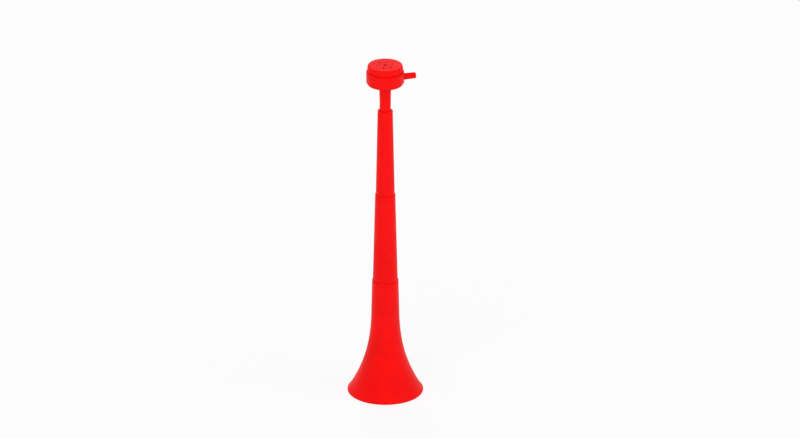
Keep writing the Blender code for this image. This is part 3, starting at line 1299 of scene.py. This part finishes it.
@dataclass(frozen=True)
class Lamp:
    """One soft square lamp: where it hangs, the length of its side, and its power in watts."""

    name: str
    place: Triple
    size: float
    power: float

    def hang(self) -> None:
        """Hangs the lamp, facing the middle of the horn and out of sight of camera and gloss."""
        data = bpy.data.lights.new(self.name, "AREA")
        data.size = self.size
        data.energy = self.power
        lamp = bpy.data.objects.new(self.name, data)
        lamp.visible_camera = False
        lamp.visible_glossy = False
        bpy.context.collection.objects.link(lamp)
        lamp.location = self.place
        towards = CAD_BOX[0] + (CAD_BOX[1] - CAD_BOX[0]) / 2 - lamp.location
        lamp.rotation_euler = towards.to_track_quat("-Z", "Y").to_euler()


@dataclass
class Studio:
    """Pale floor, soft lamps, a bright background and the photograph's camera."""

    image_width: float = 800.0
    image_height: float = 438.0
    pixels_per_metre: float = 591.3
    axis_x: float = 385.26
    origin_y: float = 390.81
    azimuth: float = -16.0
    elevation: float = 23.6
    lens: float = 600.0
    sensor: float = 36.0
    clip_share: float = 3.0
    floor_size: float = 60.0
    floor_grey: float = 0.86
    floor_roughness: float = 0.9
    floor_glow: float = 0.82
    fill: float = 0.55
    lamps: tuple[Lamp, ...] = (
        Lamp("key_lamp", (-2.4, -3.0, 3.2), 2.6, 95.0),
        Lamp("fill_lamp", (3.2, -2.4, 2.0), 2.6, 50.0),
        Lamp("back_lamp", (0.5, 3.4, 2.8), 2.4, 50.0),
    )

    def build(self) -> None:
        """Makes the floor, the background, the lamps and the camera."""
        self.build_floor()
        self.build_background()
        for lamp in self.lamps:
            lamp.hang()
        self.build_camera()
        bpy.context.scene.view_settings.view_transform = "Standard"

    def build_floor(self) -> None:
        """Makes the floor, which looks near white and keeps the horn's shadow."""
        bpy.ops.object.select_all(action="DESELECT")
        bpy.ops.mesh.primitive_plane_add(size=self.floor_size)
        floor = bpy.context.object
        floor.name = "studio_floor"
        graph = MaterialGraph("pale_floor")
        graph.shade("Base Color", (self.floor_grey, self.floor_grey, self.floor_grey, 1.0))
        graph.shade("Roughness", self.floor_roughness)
        glow = graph.node("ShaderNodeEmission", {}, {"Color": WHITE, "Strength": 1.0})
        path = graph.node("ShaderNodeLightPath", {}, {})
        seen = Value(graph, path.outputs["Is Camera Ray"])
        mix = graph.node(
            "ShaderNodeMixShader",
            {},
            {0: seen * self.floor_glow, 1: graph.shader.outputs[0], 2: glow.outputs[0]},
        )
        graph.feed(graph.output.inputs["Surface"], mix.outputs[0])
        floor.data.materials.append(graph.material)

    def build_background(self) -> None:
        """Makes the world: white where it is seen or mirrored, and a plain soft light elsewhere."""
        world = bpy.data.worlds.new("studio_world")
        bpy.context.scene.world = world
        world.use_nodes = True
        world.node_tree.nodes.clear()
        graph = Graph(world.node_tree)
        rays = graph.node("ShaderNodeLightPath", {}, {}).outputs
        mirrored = graph.math("MAXIMUM", rays["Is Glossy Ray"], rays["Is Transmission Ray"])
        seen = graph.math("MAXIMUM", rays["Is Camera Ray"], mirrored)
        soft = graph.node("ShaderNodeBackground", {}, {"Color": WHITE, "Strength": self.fill})
        bright = graph.node("ShaderNodeBackground", {}, {"Color": WHITE, "Strength": 1.0})
        mix = graph.node("ShaderNodeMixShader", {}, {0: seen, 1: soft.outputs[0], 2: bright.outputs[0]})
        graph.node("ShaderNodeOutputWorld", {}, {"Surface": mix.outputs[0]})

    def build_camera(self) -> None:
        """Makes the camera at the photograph's angle, far off with a long lens."""
        turn = math.radians(self.azimuth)
        lift = math.radians(self.elevation)
        width = self.image_width / self.pixels_per_metre
        distance = self.lens / self.sensor * width
        aside = (self.image_width / 2 - self.axis_x) / self.pixels_per_metre
        height = (self.origin_y - self.image_height / 2) / (self.pixels_per_metre * math.cos(lift))
        data = bpy.data.cameras.new("photo_camera")
        data.lens = self.lens
        data.sensor_width = self.sensor
        data.clip_end = self.clip_share * distance
        camera = bpy.data.objects.new("photo_camera", data)
        bpy.context.collection.objects.link(camera)
        camera.location = (
            aside * math.cos(turn) + distance * math.sin(turn) * math.cos(lift),
            aside * math.sin(turn) - distance * math.cos(turn) * math.cos(lift),
            height + distance * math.sin(lift),
        )
        camera.rotation_euler = (math.pi / 2 - lift, 0.0, turn)
        bpy.context.scene.camera = camera


def main() -> None:
    """Builds the horn's sub-assemblies in order, then the studio."""
    logging.basicConfig(level=logging.INFO, format="%(name)s: %(message)s")
    plastic = MouldedPlastic().make()
    ring_plastic = MouldedPlastic(name="satin_ring_plastic", gloss_roughness=0.45).make()
    film = ClearFilm().make()
    rubber = Rubber().make()
    bench = Bench()
    BellSection().build(bench, plastic)
    SlidingTubes().build(bench, plastic)
    SoundChamber().build(bench, plastic, film, rubber)
    ScrewCap().build(bench, plastic, ring_plastic)
    Studio().build()


if __name__ == "__main__":
    main()
